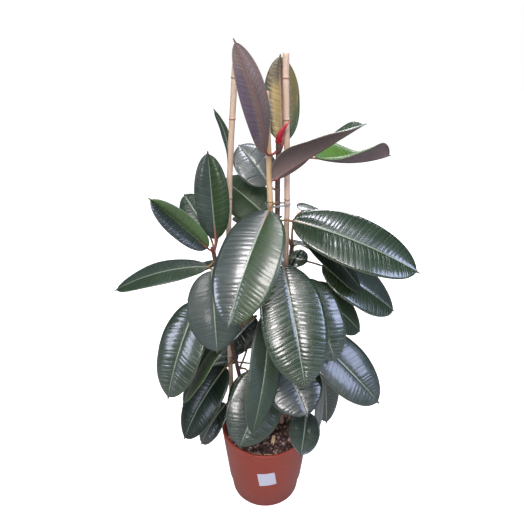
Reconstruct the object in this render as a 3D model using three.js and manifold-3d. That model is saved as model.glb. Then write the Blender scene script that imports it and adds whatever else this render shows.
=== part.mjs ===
// A rubber plant (Ficus elastica) with three stems and three bamboo canes in a nursery pot.
// Millimetres, +Z up. The origin is the centre of the pot's underside, and -Y is the front.
import * as THREE from "three";
import { mergeVertices } from "three/addons/utils/BufferGeometryUtils.js";
import Module from "manifold-3d";

const wasm = await Module();
wasm.setup();

// Pot
const POT_HEIGHT = 186;
const RIM_RADIUS = 103.5;
const LIP_RADIUS = 101.5;
const LIP_DROP = 7;
const FOOT_TOP = 42;
const STEP_RADIUS = 89;
const FOOT_RADIUS = 86.8;
const BASE_RADIUS = 81;
const WALL = 2.2;
const FLOOR = 5.5;
const RECESS = 2.5;
const PAD_RADIUS = 30;
const POT_SIDES = 32;
const DRAIN_RING = 52;
const DRAIN_RADIUS = 7;
const DRAIN_COUNT = 6;
const DRAIN_SIDES = 8;
const LABEL = { width: 40, height: 42, thick: 0.5, azimuth: 2, centre: 106, skew: -8 };

// Soil
const SOIL_TOP = 165;
const SOIL_RELIEF = 3;
const SOIL_RINGS = 5;
const GAP = 0.3;

// Leaves
const BLADE_THICK = 1.2;
const BLADE_ROWS = [0, 0.05, 0.18, 0.38, 0.58, 0.78, 0.91, 0.96, 1];
const BLADE_COLUMNS = [-1, -0.52, 0, 0.52, 1];
const CURL = 1.15;
const BODY_END = 0.965;
const TIP_SHARE = 0.12;
const PETIOLE_RADIUS = 2.4;
const PETIOLE_SIDES = 5;
const PETIOLE_STEPS = 3;
const PETIOLE_SUNK = 9;

// Stems and canes: [x, y, z] along the centre line, from the soil up
const STEMS = {
  tall: { radius: 5, path: [[24, 30, 85], [24, 24, 293], [22, 12, 593], [22, 2, 853]] },
  left: { radius: 4.5, path: [[-34, 10, 85], [-48, -2, 253], [-76, -14, 443], [-104, -24, 657]] },
  back: { radius: 4.5, path: [[14, 54, 85], [26, 54, 293], [42, 54, 473], [56, 52, 633]] },
};
const CANES = {
  cane_left: { radius: 5.5, path: [[-80, 12, 105], [-79, 12, 493], [-70, 12, 773], [-54, 12, 985]] },
  cane_middle: { radius: 5.5, path: [[10, 24, 53], [10, 8, 443], [9, -6, 693], [-1, -12, 943]] },
  cane_right: { radius: 5.5, path: [[40, 32, 53], [40, 18, 393], [40, 4, 743], [32, 2, 1003]] },
};
const SHAFT_SIDES = 8;
const NODE_SWELL = 0.7;
const NODE_LENGTH = 10;
const CANE_NODES = [193, 373, 553, 745, 893, 963];
const STEM_NODES = [223, 293, 353, 423, 493, 553, 613, 693, 763];
const TIE = { height: 735, tall: 3, thick: 1.2 };
const SHEATH = { radius: 6, base: [22, 2, 853.4], bend: [22, -8, 873], tip: [42, -18, 895] };

// name, height on the stem, blade's base, blade's tip, width, bow, way the upper face looks,
// fold and twist in degrees. The stem is the name's first word.
const LEAVES = [
  ["tall_leaf_01", 839, [-1, -36.5, 843], [-51, -90, 1025], 64, -22, [-6, 9, 3], 42, -45],
  ["tall_leaf_02", 831, [31, 17, 852], [25, 62, 999], 68, -8, [0, -10, 3], 18, 0],
  ["tall_leaf_03", 789, [15, -24, 791], [159, -90, 901], 114, 0, [-8, 9, 16], 46, 62],
  ["tall_leaf_04", 805, [94, 46, 815], [262, 124, 802], 148, -12, [-1, 1, 10], 50, -70],
  ["tall_leaf_05", 763, [6, 34, 766], [-54, 78, 834], 80, 6, [2, -10, 7], 12, 0],
  ["left_leaf_01", 643, [-97, -28, 677], [-106, -12, 841], 72, 2, [1, -10, 2], 30, 0],
  ["left_leaf_02", 648, [-113, -44, 665], [-201, -96, 779], 74, -6, [5, -10, 0], 50, 0],
  ["left_leaf_03", 633, [-116, 10, 677], [-166, 60, 738], 60, 4, [0, -10, 5], 15, 0],
  ["tall_leaf_06", 697, [2, 30, 701], [-90, 92, 761], 92, 6, [3, -10, 5], 12, 0],
  ["tall_leaf_07", 735, [4, -43, 738], [-68, -170, 564], 122, 14, [-3, -8, 8], 12, 0],
  ["tall_leaf_08", 697, [52, -26, 712], [290, -70, 623], 118, 16, [-1, -6, 10], 12, 0],
  ["back_leaf_01", 623, [52, 14, 697], [207, 20, 533], 100, 10, [3, -3, 10], 12, 0],
  ["back_leaf_02", 593, [122, 56, 579], [294, 62, 459], 110, 12, [4, -6, 8], 12, 0],
  ["back_leaf_03", 553, [90, 34, 538], [217, 44, 416], 90, 10, [3, -6, 8], 12, 0],
  ["tall_leaf_09", 643, [32, -56, 632], [73, -170, 430], 124, 14, [1, -9, 5], 12, 0],
  ["back_leaf_14", 583, [76, -22, 585], [140, -90, 431], 96, 12, [3, -10, 5], 12, 0],
  ["back_leaf_15", 483, [90, -36, 467], [240, -90, 325], 110, 12, [2, -7, 8], 12, 0],
  ["back_leaf_04", 403, [132, 62, 371], [150, 16, 168], 72, 8, [3, -10, 4], 12, 0],
  ["tall_leaf_12", 433, [30, -50, 417], [84, -140, 335], 118, 8, [0, -6, 10], 12, 0],
  ["back_leaf_16", 283, [90, -47, 265], [69, -175, 265], 68, 10, [2, -4, 10], 14, 0],
  ["back_leaf_05", 363, [126, 14, 337], [113, -54, 186], 76, 6, [10, -5, 0], 12, 0],
  ["tall_leaf_14", 521, [4, -60, 538], [-29, -190, 332], 80, 14, [7, -10, 3], 24, 0],
  ["tall_leaf_15", 393, [8, -46, 388], [-56, -150, 261], 116, 12, [2, -8, 6], 12, 0],
  ["left_leaf_04", 353, [-38, -24, 357], [-49, -106, 213], 84, 10, [0, -8, 6], 12, 0],
  ["left_leaf_05", 553, [-134, -54, 551], [-196, -130, 371], 106, 12, [-5, -8, 6], 12, 0],
  ["left_leaf_06", 589, [-104, -52, 619], [-93, -125, 479], 102, 10, [0, -9, 6], 12, 0],
  ["left_leaf_07", 473, [-74, -26, 473], [-172, -110, 339], 90, 12, [-6, 0, 10], 12, 0],
  ["left_leaf_08", 453, [-22, 34, 462], [-110, 38, 358], 76, 6, [-2, -10, 4], 12, 0],
  ["left_leaf_09", 383, [-88, -22, 367], [-180, -90, 223], 96, 12, [-6, -6, 8], 12, 0],
  ["left_leaf_10", 273, [-92, -12, 255], [-150, -45, 163], 62, 8, [-6, -6, 8], 12, 0],
  ["left_leaf_11", 633, [-116, -30, 617], [-295, -60, 580], 84, 14, [0, -1, 10], 12, 0],
  ["back_leaf_06", 629, [76, 84, 693], [170, 170, 633], 100, 10, [-1, -3, 10], 12, 0],
  ["back_leaf_07", 593, [46, 40, 605], [88, 24, 605], 60, 3, [0, -3, 10], 12, 0],
  ["tall_leaf_16", 683, [0, 60, 683], [-40, 200, 613], 108, 14, [0, 3, 10], 12, 0],
  ["tall_leaf_17", 593, [0, 66, 593], [-66, 220, 503], 112, 14, [-2, 4, 10], 12, 0],
  ["back_leaf_08", 613, [66, 92, 613], [160, 230, 513], 110, 14, [3, 4, 10], 12, 0],
  ["left_leaf_12", 573, [-116, 34, 583], [-230, 150, 488], 112, 14, [-4, 3, 10], 12, 0],
  ["back_leaf_09", 533, [34, 92, 543], [20, 260, 443], 114, 14, [0, 5, 10], 12, 0],
  ["left_leaf_13", 493, [-118, 52, 493], [-150, 230, 393], 112, 14, [-2, 5, 10], 12, 0],
  ["back_leaf_10", 453, [80, 88, 463], [180, 200, 363], 110, 14, [4, 4, 10], 12, 0],
  ["left_leaf_14", 346, [-44, 62, 356], [-36, 212, 252], 106, 14, [-1, 5, 10], 12, 0],
  ["back_leaf_11", 343, [50, 92, 353], [60, 230, 253], 106, 14, [1, 5, 10], 12, 0],
  ["back_leaf_12", 433, [90, 50, 423], [210, 90, 323], 100, 12, [5, 1, 10], 12, 0],
  ["back_leaf_13", 308, [-70, 70, 314], [-178, 124, 236], 100, 12, [-5, 3, 10], 12, 0],
  ["left_leaf_15", 645, [-72, 40, 790], [-98, 50, 905], 24, -14, [-8, -8, 2], 10, 0],
];

const vector = (xyz) => new THREE.Vector3(...xyz);
const radians = THREE.MathUtils.degToRad;

function material(color, roughness) {
  return new THREE.MeshStandardMaterial({ color, roughness, metalness: 0 });
}

const TERRACOTTA = material(0x9e4b3c, 0.45);
const PAPER = material(0xf1efec, 0.6);
const COMPOST = material(0x2c2320, 0.95);
const STEM_BARK = material(0x4a3530, 0.7);
const BAMBOO = material(0xd9b48c, 0.5);
const WIRE = material(0x8c8c88, 0.6);
const RED_SHEATH = material(0xa8242c, 0.4);
const LEAF_GREEN = material(0x24402f, 0.3);
const YOUNG_LEAF = material(0x5f6a2a, 0.35);

// Closed geometry to a solid, and back.
function solid(geometry) {
  const flat = geometry.clone();
  flat.deleteAttribute("normal");
  flat.deleteAttribute("uv");
  const merged = mergeVertices(flat, 1e-4);
  const vertProperties = new Float32Array(merged.attributes.position.array);
  const triVerts = new Uint32Array(merged.index.array);
  return new wasm.Manifold(new wasm.Mesh({ numProp: 3, vertProperties, triVerts }));
}

function geometryOf(made) {
  const { vertProperties, triVerts } = made.getMesh();
  const geometry = new THREE.BufferGeometry();
  geometry.setAttribute("position", new THREE.BufferAttribute(vertProperties, 3));
  geometry.setIndex(new THREE.BufferAttribute(triVerts, 1));
  return geometry;
}

// A profile of [radius, height] turned round +Z.
function turned(profile, sides) {
  const points = profile.map(([radius, height]) => new THREE.Vector2(radius, height));
  return new THREE.LatheGeometry(points, sides).rotateX(Math.PI / 2);
}

function moveVertices(geometry, place) {
  const position = geometry.getAttribute("position");
  const point = new THREE.Vector3();
  for (let i = 0; i < position.count; i += 1) {
    point.fromBufferAttribute(position, i);
    place(point);
    position.setXYZ(i, point.x, point.y, point.z);
  }
  return geometry;
}

// The centre line of a stem or cane at a height.
function centreAt(path, height) {
  const curve = new THREE.CatmullRomCurve3(path.map(vector));
  let low = 0;
  let high = 1;
  for (let i = 0; i < 24; i += 1) {
    const middle = (low + high) / 2;
    if (curve.getPoint(middle).z < height) low = middle;
    else high = middle;
  }
  return curve.getPoint(low);
}

// A round shaft with swollen nodes, bent along its path; grow widens it for a clearance cut.
function shaft({ radius, path }, nodes, grow = 0) {
  const bottom = path[0][2];
  const top = path[path.length - 1][2];
  const heights = [];
  for (const node of nodes) {
    if (node > bottom + NODE_LENGTH && node < top - NODE_LENGTH) {
      heights.push([node - NODE_LENGTH / 2, 0], [node, NODE_SWELL], [node + NODE_LENGTH / 2, 0]);
    }
  }
  const rings = [[bottom, 0], ...heights, [top, 0]].map(([z, swell]) => [radius + swell + grow, z]);
  const bent = turned([[0, bottom], ...rings, [0, top]], SHAFT_SIDES);
  return moveVertices(bent, (point) => {
    const centre = centreAt(path, point.z);
    point.x += centre.x;
    point.y += centre.y;
  });
}

// Half width along the blade: an ellipse with a short drip tip.
function halfWidth(width, u) {
  const across = Math.abs(1 - (2 * Math.min(u, BODY_END)) / BODY_END);
  const body = Math.pow(1 - Math.pow(across, 2.5), 0.56);
  const tip = TIP_SHARE * Math.min(1, (1 - u) / 0.09);
  return (width / 2) * Math.hypot(body, tip) + 0.4;
}

// The blade's middle surface: u runs from base to tip, v from one margin to the other.
function bladePoint(leaf, u, v) {
  const along = leaf.tip.clone().sub(leaf.base).normalize();
  const top = leaf.face.clone().addScaledVector(along, -leaf.face.dot(along)).normalize();
  const crown = leaf.base.clone().add(leaf.tip).multiplyScalar(0.5).addScaledVector(top, 2 * leaf.bow);
  const midrib = new THREE.QuadraticBezierCurve3(leaf.base, crown, leaf.tip).getPoint(u);
  const turn = radians(leaf.twist) * (u - 0.5);
  top.applyAxisAngle(along, turn);
  const side = new THREE.Vector3().crossVectors(along, top);
  const half = halfWidth(leaf.width, u);
  const fold = radians(leaf.fold);
  const out = v * half * Math.cos(fold);
  const droop = CURL * Math.cos(fold) * Math.cos(fold) * Math.abs(v);
  const rise = Math.abs(v) * half * Math.sin(fold) * (1 - droop);
  return midrib.addScaledVector(side, out).addScaledVector(top, rise);
}

function bladeNormal(leaf, u, v) {
  const step = 0.01;
  const low = Math.max(0, u - step);
  const high = Math.min(1, u + step);
  const along = bladePoint(leaf, high, v).sub(bladePoint(leaf, low, v));
  const inner = Math.max(-1, v - step);
  const outer = Math.min(1, v + step);
  const across = bladePoint(leaf, u, outer).sub(bladePoint(leaf, u, inner));
  return across.cross(along).normalize();
}

// Two skins with the same triangles, closed round the margin.
function blade(leaf) {
  const across = BLADE_COLUMNS.length;
  const count = BLADE_ROWS.length * across;
  const position = [];
  for (const skin of [1, -1]) {
    for (const u of BLADE_ROWS) {
      for (const v of BLADE_COLUMNS) {
        const crease = v === 0 ? Math.cos(radians(leaf.fold)) : 1;
        const offset = (skin * BLADE_THICK) / 2 / crease;
        const point = bladePoint(leaf, u, v).addScaledVector(bladeNormal(leaf, u, v), offset);
        position.push(point.x, point.y, point.z);
      }
    }
  }
  const index = [];
  const margin = [];
  for (let row = 0; row < BLADE_ROWS.length - 1; row += 1) {
    for (let column = 0; column < across - 1; column += 1) {
      const a = row * across + column;
      const [b, c, d] = [a + 1, a + across, a + across + 1];
      index.push(a, b, d, a, d, c);
      index.push(count + a, count + d, count + b, count + a, count + c, count + d);
    }
  }
  for (let column = 0; column < across; column += 1) margin.push(column);
  for (let row = 1; row < BLADE_ROWS.length; row += 1) margin.push(row * across + across - 1);
  for (let column = across - 2; column >= 0; column -= 1) margin.push(count - across + column);
  for (let row = BLADE_ROWS.length - 2; row > 0; row -= 1) margin.push(row * across);
  margin.forEach((a, i) => {
    const b = margin[(i + 1) % margin.length];
    index.push(a, count + b, b, a, count + a, count + b);
  });
  const geometry = new THREE.BufferGeometry();
  geometry.setAttribute("position", new THREE.Float32BufferAttribute(position, 3));
  geometry.setIndex(index);
  return geometry;
}

function petiole(leaf, from) {
  const lead = bladePoint(leaf, 0.02, 0).sub(leaf.base).normalize();
  const reach = leaf.base.distanceTo(from);
  const bend = leaf.base.clone().addScaledVector(lead, -0.45 * reach);
  const end = leaf.base.clone().addScaledVector(lead, PETIOLE_SUNK);
  const section = new THREE.Shape();
  for (let i = 0; i < PETIOLE_SIDES; i += 1) {
    const azimuth = (2 * Math.PI * i) / PETIOLE_SIDES;
    const [x, y] = [PETIOLE_RADIUS * Math.cos(azimuth), PETIOLE_RADIUS * Math.sin(azimuth)];
    if (i === 0) section.moveTo(x, y);
    else section.lineTo(x, y);
  }
  const extrudePath = new THREE.QuadraticBezierCurve3(from, bend, end);
  return new THREE.ExtrudeGeometry(section, { steps: PETIOLE_STEPS, extrudePath });
}

function leafMesh(row) {
  const [name, height, base, tip, width, bow, face, fold, twist] = row;
  const leaf = { base: vector(base), tip: vector(tip), face: vector(face), width, bow, fold, twist };
  const stem = STEMS[name.split("_")[0]];
  const stalk = petiole(leaf, centreAt(stem.path, height));
  const joined = solid(blade(leaf)).add(solid(stalk));
  const cut = joined.subtract(solid(shaft(stem, STEM_NODES, GAP)));
  const bodies = cut.decompose().sort((a, b) => b.volume() - a.volume());
  const young = name === "tall_leaf_02";
  return named(name, geometryOf(bodies[0]), young ? YOUNG_LEAF : LEAF_GREEN);
}

function named(name, geometry, look) {
  const mesh = new THREE.Mesh(geometry, look);
  mesh.name = name;
  return mesh;
}

function pot() {
  const inner = RIM_RADIUS - 4 - WALL;
  const profile = [
    [0, 0],
    [PAD_RADIUS, 0],
    [PAD_RADIUS + 2, RECESS],
    [BASE_RADIUS - 8, RECESS],
    [BASE_RADIUS - 6, 0],
    [BASE_RADIUS, 0],
    [FOOT_RADIUS, FOOT_TOP],
    [STEP_RADIUS, FOOT_TOP + 2],
    [RIM_RADIUS - 3.2, POT_HEIGHT - 24],
    [LIP_RADIUS, POT_HEIGHT - 22],
    [LIP_RADIUS + 1, POT_HEIGHT - LIP_DROP],
    [RIM_RADIUS, POT_HEIGHT - LIP_DROP + 1],
    [RIM_RADIUS, POT_HEIGHT - 1],
    [RIM_RADIUS - 1, POT_HEIGHT],
    [inner + 1, POT_HEIGHT],
    [inner, POT_HEIGHT - 2],
    [STEP_RADIUS - WALL, FOOT_TOP + 3],
    [FOOT_RADIUS - WALL, FOOT_TOP],
    [BASE_RADIUS - WALL, FLOOR],
    [0, FLOOR],
  ];
  let body = solid(turned(profile, POT_SIDES));
  for (let i = 0; i < DRAIN_COUNT; i += 1) {
    const azimuth = (2 * Math.PI * i) / DRAIN_COUNT;
    const hole = turned([[0, -5], [DRAIN_RADIUS, -5], [DRAIN_RADIUS, 12], [0, 12]], DRAIN_SIDES);
    hole.translate(DRAIN_RING * Math.cos(azimuth), DRAIN_RING * Math.sin(azimuth), 0);
    body = body.subtract(solid(hole));
  }
  return named("pot", geometryOf(body), TERRACOTTA);
}

// Radius of the pot's outside between the step and the lip.
function wallRadius(z) {
  const share = (z - FOOT_TOP - 2) / (POT_HEIGHT - 24 - FOOT_TOP - 2);
  return THREE.MathUtils.lerp(STEP_RADIUS, RIM_RADIUS - 3.2, share);
}

// A paper label bent round the wall, a little askew.
function potLabel() {
  const { width, height, thick, centre, skew, azimuth } = LABEL;
  const sheet = new THREE.BoxGeometry(width, thick, height, 8, 1, 4);
  sheet.rotateY(radians(skew));
  moveVertices(sheet, (point) => {
    const z = centre + point.z;
    const radius = wallRadius(z) + GAP + thick / 2 - point.y;
    const angle = radians(azimuth) + point.x / wallRadius(z) - Math.PI / 2;
    point.set(radius * Math.cos(angle), radius * Math.sin(angle), z);
  });
  return named("pot_label", sheet, PAPER);
}

function soilHeight(x, y) {
  const coarse = Math.sin(x * 0.13 + 1.1) * Math.cos(y * 0.11 - 0.4);
  const fine = Math.sin(x * 0.37 - y * 0.21) * Math.cos(y * 0.33 + 0.7);
  return SOIL_RELIEF * (0.6 * coarse + 0.4 * fine);
}

function soil() {
  const bottom = FLOOR + GAP;
  const lower = BASE_RADIUS - WALL - 1;
  const foot = FOOT_RADIUS - WALL - 1;
  const waist = STEP_RADIUS - WALL - 1;
  const slope = (RIM_RADIUS - 4 - STEP_RADIUS) / (POT_HEIGHT - FOOT_TOP - 5);
  const upper = waist + slope * (SOIL_TOP - FOOT_TOP - 5) + 0.2;
  const profile = [[0, bottom], [lower, bottom], [foot, FOOT_TOP], [waist, FOOT_TOP + 3.5], [upper, SOIL_TOP - 2]];
  for (let ring = SOIL_RINGS; ring >= 0; ring -= 1) {
    profile.push([((upper - 3) * ring) / SOIL_RINGS, SOIL_TOP]);
  }
  const mound = moveVertices(turned(profile, POT_SIDES), (point) => {
    if (point.z > SOIL_TOP - 1) point.z += soilHeight(point.x, point.y);
  });
  let body = solid(mound);
  for (const stem of Object.values(STEMS)) body = body.subtract(solid(shaft(stem, STEM_NODES, GAP)));
  for (const cane of Object.values(CANES)) body = body.subtract(solid(shaft(cane, CANE_NODES, GAP)));
  return named("potting_soil", geometryOf(body), COMPOST);
}

// The smallest outline round all points, counter-clockwise.
function outline(points) {
  const sorted = [...points].sort((a, b) => a.x - b.x || a.y - b.y);
  const turn = (o, a, b) => (a.x - o.x) * (b.y - o.y) - (a.y - o.y) * (b.x - o.x);
  const chain = (list) => {
    const kept = [];
    for (const point of list) {
      while (kept.length > 1 && turn(kept.at(-2), kept.at(-1), point) <= 0) kept.pop();
      kept.push(point);
    }
    return kept.slice(0, -1);
  };
  return [...chain(sorted), ...chain(sorted.reverse())];
}

// A wire loop round the middle cane, the tall stem and the right cane.
function caneTie() {
  const around = [CANES.cane_middle, STEMS.tall, CANES.cane_right];
  const loop = (clearance) => {
    const points = [];
    for (const { radius, path } of around) {
      const centre = centreAt(path, TIE.height);
      for (let i = 0; i < 20; i += 1) {
        const azimuth = (2 * Math.PI * i) / 20;
        const reach = radius + clearance;
        points.push(new THREE.Vector2(
          centre.x + reach * Math.cos(azimuth),
          centre.y + reach * Math.sin(azimuth),
        ));
      }
    }
    return outline(points);
  };
  const band = new THREE.Shape(loop(0.5 + TIE.thick));
  band.holes.push(new THREE.Path(loop(0.5)));
  const made = new THREE.ExtrudeGeometry(band, { depth: TIE.tall, bevelEnabled: false });
  made.translate(0, 0, TIE.height - TIE.tall / 2);
  return named("cane_tie", made, WIRE);
}

// The red sheath that holds the next leaf, tapering to a bent point.
function tallSheath() {
  const { radius, base, bend, tip } = SHEATH;
  const rings = [[0, 0], [0.8, 0], [1, 0.2], [0.85, 0.5], [0.5, 0.8], [0.12, 1], [0, 1]];
  const cone = turned(rings.map(([share, height]) => [share * radius, height]), 8);
  const path = new THREE.QuadraticBezierCurve3(vector(base), vector(bend), vector(tip));
  moveVertices(cone, (point) => {
    const centre = path.getPoint(point.z);
    point.set(centre.x + point.x, centre.y + point.y, centre.z);
  });
  return named("tall_sheath", cone, RED_SHEATH);
}

const plant = new THREE.Group();
plant.add(pot(), potLabel(), soil(), caneTie(), tallSheath());
for (const [name, stem] of Object.entries(STEMS)) {
  plant.add(named(`${name}_stem`, shaft(stem, STEM_NODES), STEM_BARK));
}
for (const [name, cane] of Object.entries(CANES)) {
  plant.add(named(name, shaft(cane, CANE_NODES), BAMBOO));
}
for (const row of LEAVES) plant.add(leafMesh(row));

export default plant;
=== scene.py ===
"""A potted rubber plant with three stems and three bamboo canes, finished over its CAD frame."""

import random
from math import atan2, copysign, cos, exp, hypot, pi, radians, sin, sqrt, tau

import bmesh
import bpy
from mathutils import Matrix, Quaternion, Vector, noise


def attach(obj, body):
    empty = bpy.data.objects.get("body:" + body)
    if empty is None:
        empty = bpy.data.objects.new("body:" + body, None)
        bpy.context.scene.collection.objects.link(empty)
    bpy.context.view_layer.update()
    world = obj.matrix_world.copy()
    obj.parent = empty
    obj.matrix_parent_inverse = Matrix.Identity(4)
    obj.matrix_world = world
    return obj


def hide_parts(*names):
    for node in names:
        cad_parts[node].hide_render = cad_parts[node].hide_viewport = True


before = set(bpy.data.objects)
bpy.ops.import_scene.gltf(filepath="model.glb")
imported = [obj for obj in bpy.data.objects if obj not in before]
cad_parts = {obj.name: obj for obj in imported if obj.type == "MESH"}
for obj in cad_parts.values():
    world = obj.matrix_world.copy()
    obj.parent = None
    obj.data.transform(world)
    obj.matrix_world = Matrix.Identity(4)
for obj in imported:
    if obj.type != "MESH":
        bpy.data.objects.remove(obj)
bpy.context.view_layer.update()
MM = 0.001

# Pot and soil, in millimetres
POT_HEIGHT = 186
RIM_RADIUS = 103.5
RIM_STEP = 4
LIP_RADIUS = 101.5
LIP_DROP = 7
LIP_SEAT = 22
FOOT_TOP = 42
STEP_RADIUS = 89
FOOT_RADIUS = 86.8
BASE_RADIUS = 81
WALL = 2.2
FLOOR = 5.5
RECESS = 2.5
PAD_RADIUS = 30
POT_STEPS = 128
CORNER_CUT = 0.7
CORNER_STEPS = 3
DRAIN_RING = 52
DRAIN_RADIUS = 7
DRAIN_COUNT = 6
DRILL_DEPTH = 14
SOIL_TOP = 165
SOIL_RELIEF = 3
SOIL_RINGS = 58
SOIL_STEPS = 120
CRUMB_COUNT = 760
CRUMB_CLEARANCE = 6.5
CRUMB_LEAST = 1.2
CRUMB_SPREAD = 3.8
CRUMB_SHARES = ((0.7, 1.5), (0.7, 1.2), (0.5, 0.9))
FLAKE_LENGTH = 11
FLAKE_WIDTH = 4.6
FLAKE_THICK = 0.9

# What the vertices carry: side in mm, rib phase and share along the leaf; mm to the edge, green and red;
# bloom, partly a painted sheen; purple, for a painted shadow under the leaf; and satin. On some leaves
# the green is partly a painted lit half.
LAYERS = ("ribs", "look", "wax")

# Leaves
BLADE_THICK = 0.9
CURL = 1.15
BODY_END = 0.965
TIP_SHARE = 0.12
NARROWEST = 0.4
HALF_COLUMNS = 11
ROWS_PER_RIB = 4
RIB_PITCH = 7.4
PANELS = 64
RIPPLE = 0.9
RIB_LIFT = 0.08
QUILT = 0.5
GROOVE = 0.8
GROOVE_WIDTH = 1.7
KEEL = 0.9
KEEL_WIDTH = 1.8
PETIOLE_RADIUS = 2.3
PETIOLE_SUNK = 9
PETIOLE_STEPS = 18
PETIOLE_SIDES = 14
NO_EDGE = 99
# The leaf whose underside gets the strongest painted shadow
YOUNGEST_LEAF = "tall_leaf_02"
SHADED_PURPLE_LEAF = "tall_leaf_01"
SLENDER_LEAF = "left_leaf_15"
# From this much satin on both halves, a leaf gets the satin finish
SATIN_FROM = 0.45

# Stems and canes: the radius, then (x, y, z) along the centre line, from the soil up
STEMS = {
    "tall": (5, [(24, 30, 85), (24, 24, 293), (22, 12, 593), (22, 2, 853)]),
    "left": (4.5, [(-34, 10, 85), (-48, -2, 253), (-76, -14, 443), (-104, -24, 657)]),
    "back": (4.5, [(14, 54, 85), (26, 54, 293), (42, 54, 473), (56, 52, 633)]),
}
CANES = {
    "cane_left": (5.5, [(-80, 12, 105), (-79, 12, 493), (-70, 12, 773), (-54, 12, 985)]),
    "cane_middle": (5.5, [(10, 24, 53), (10, 8, 443), (9, -6, 693), (-1, -12, 943)]),
    "cane_right": (5.5, [(40, 32, 53), (40, 18, 393), (40, 4, 743), (32, 2, 1003)]),
}
NODE_LENGTH = 10
CANE_NODES = [193, 373, 553, 745, 893, 963]
STEM_NODES = [223, 293, 353, 423, 493, 553, 613, 693, 763]
TIE_HEIGHT = 735
TIE_TURNS = 3
TIE_PITCH = 1.35
TIE_CLEARANCE = 1.15
WIRE_RADIUS = 0.62
TAIL_RADIUS = 0.6
SHEATH_STEPS = 40
SHEATH_RADIUS = 6
SHEATH_PATH = [(22, 2, 853.4), (22, -8, 873), (42, -18, 895)]

# Studio, in metres and degrees; the floor's reach in millimetres
FLOOR_REACH = 9000
CAMERA_PLACE = (-0.008, -0.880, 1.028)
CAMERA_TILT = 64.8
CAMERA_LENS = 32.98
# What the world shows to the camera, to plain surfaces and to gloss: colour and strength
SHADES = {
    "backdrop": ((1, 1, 1, 1), 1),
    "room": ((0.93, 0.95, 1, 1), 0.2),
    "sheen": ((0.66, 0.72, 1, 1), 0.045),
}

# Fold and twist in degrees, where a row gives none
USUAL_TURNS = (12, 0)
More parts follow.
